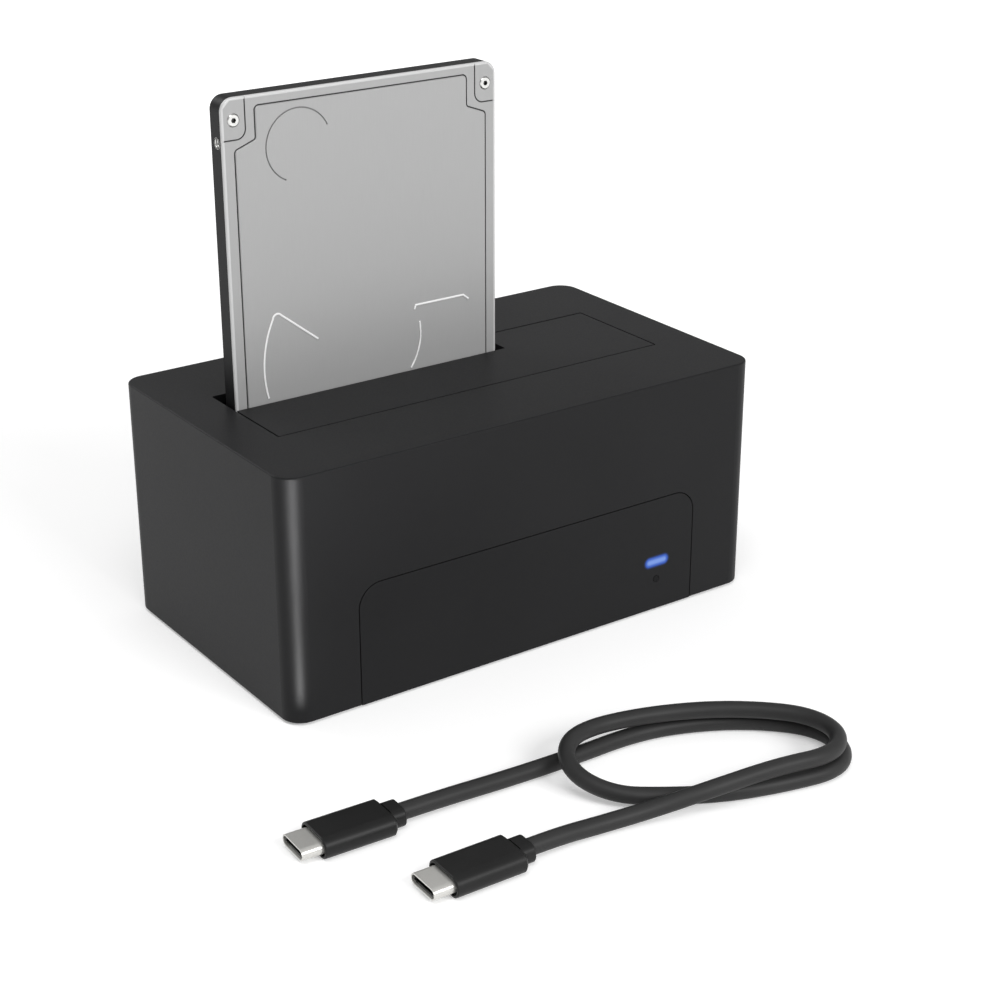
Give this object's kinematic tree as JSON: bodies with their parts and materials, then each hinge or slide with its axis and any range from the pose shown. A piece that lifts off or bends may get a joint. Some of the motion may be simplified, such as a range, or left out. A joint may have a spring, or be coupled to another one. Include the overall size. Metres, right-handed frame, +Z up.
{
  "type": "hard drive docking station",
  "caption": "Desk dock for a bare hard drive, with a sprung flap over a wide slot, a slim drive standing in it and a short cable.",
  "frame": {"origin": "on the desk, under the middle of the housing", "axes": "+Z up, the front panel faces -Y, the slim drive stands at the -X end"},
  "size_m": [0.1517, 0.1561, 0.1261],
  "materials": {
    "black_housing": "fine-grained matt black moulding",
    "black_inner": "smooth matt black moulding",
    "black_rubber": "matt",
    "zinc_steel": "zinc plated",
    "black_steel": "blackened",
    "spring_steel": "bright drawn wire",
    "board_green": "solder-masked laminate",
    "connector_black": "moulded connector body",
    "contact_gold": "gold plated",
    "tin_steel": "tinned",
    "chip_black": "moulded package",
    "coil_grey": "ferrite block",
    "can_silver": "drawn can",
    "status_blue": "lit clear blue light guide",
    "clear_guide": "clear light guide, unlit",
    "light_chip_white": "light chip",
    "cast_alloy": "dark coated casting",
    "lid_steel": "satin pressed sheet",
    "lid_screw_steel": "machined",
    "cable_jacket": "matt black jacket",
    "grip_plastic": "moulded plug grip",
    "plug_steel": "nickel plated"
  },
  "bodies": {
    "dock": {"upper_shell": "black_housing", "front_panel": "black_housing", "base_plate": "black_inner", "rubber_feet": "black_rubber", "drive_bay": "black_inner", "hinge_pin": "zinc_steel", "main_board": "board_green", "power_switch": "connector_black", "board_header": "connector_black", "base_screws": "black_steel", "bay_screws": "zinc_steel", "board_screws": "zinc_steel", "status_light": "status_blue", "activity_light": "clear_guide", "light_chips": "light_chip_white", "light_board": "board_green", "light_board_screws": "zinc_steel", "drive_socket": "connector_black", "socket_contacts": "contact_gold", "usb_socket": "tin_steel", "usb_socket_tongue": "connector_black", "power_jack": "connector_black", "power_jack_pin": "tin_steel", "bridge_chip": "chip_black", "clock_crystal": "tin_steel", "power_coils": "coil_grey", "capacitors": "can_silver", "small_chips": "chip_black"},
    "flap": {"drive_flap": "black_housing", "flap_springs": "spring_steel"},
    "button": {"power_button": "black_inner"},
    "drive": {"drive_case": "cast_alloy", "drive_lid": "lid_steel", "lid_screws": "lid_screw_steel", "drive_board": "board_green", "motor_hub": "can_silver", "drive_plug": "connector_black", "plug_contacts": "contact_gold"},
    "cable": {"cable_lead": "cable_jacket", "far_plug_grip": "grip_plastic", "far_plug_tip": "plug_steel", "far_plug_liner": "connector_black", "near_plug_grip": "grip_plastic", "near_plug_tip": "plug_steel", "near_plug_liner": "connector_black"}
  },
  "joints": [
    {"name": "flap_hinge", "type": "hinge", "parent": "dock", "child": "flap", "pos_m": [0, -0.0188, 0.0537], "axis": [-1, 0, 0], "range_deg": [0, 90], "stiffness_Nm_per_rad": 0.002, "springref_deg": -85.94},
    {"name": "power_press", "type": "slide", "parent": "dock", "child": "button", "axis": [0, -1, 0], "range_m": [0, 0.001], "stiffness_N_per_m": 800, "springref_m": -0.001},
    {"name": "drive_lift", "type": "slide", "parent": "dock", "child": "drive", "axis": [0, 0, 1], "range_m": [0, 0.04]},
    {"name": "cable_lift", "type": "slide", "parent": "dock", "child": "cable", "axis": [0, 0, 1], "range_m": [0, 0.1]}
  ]
}
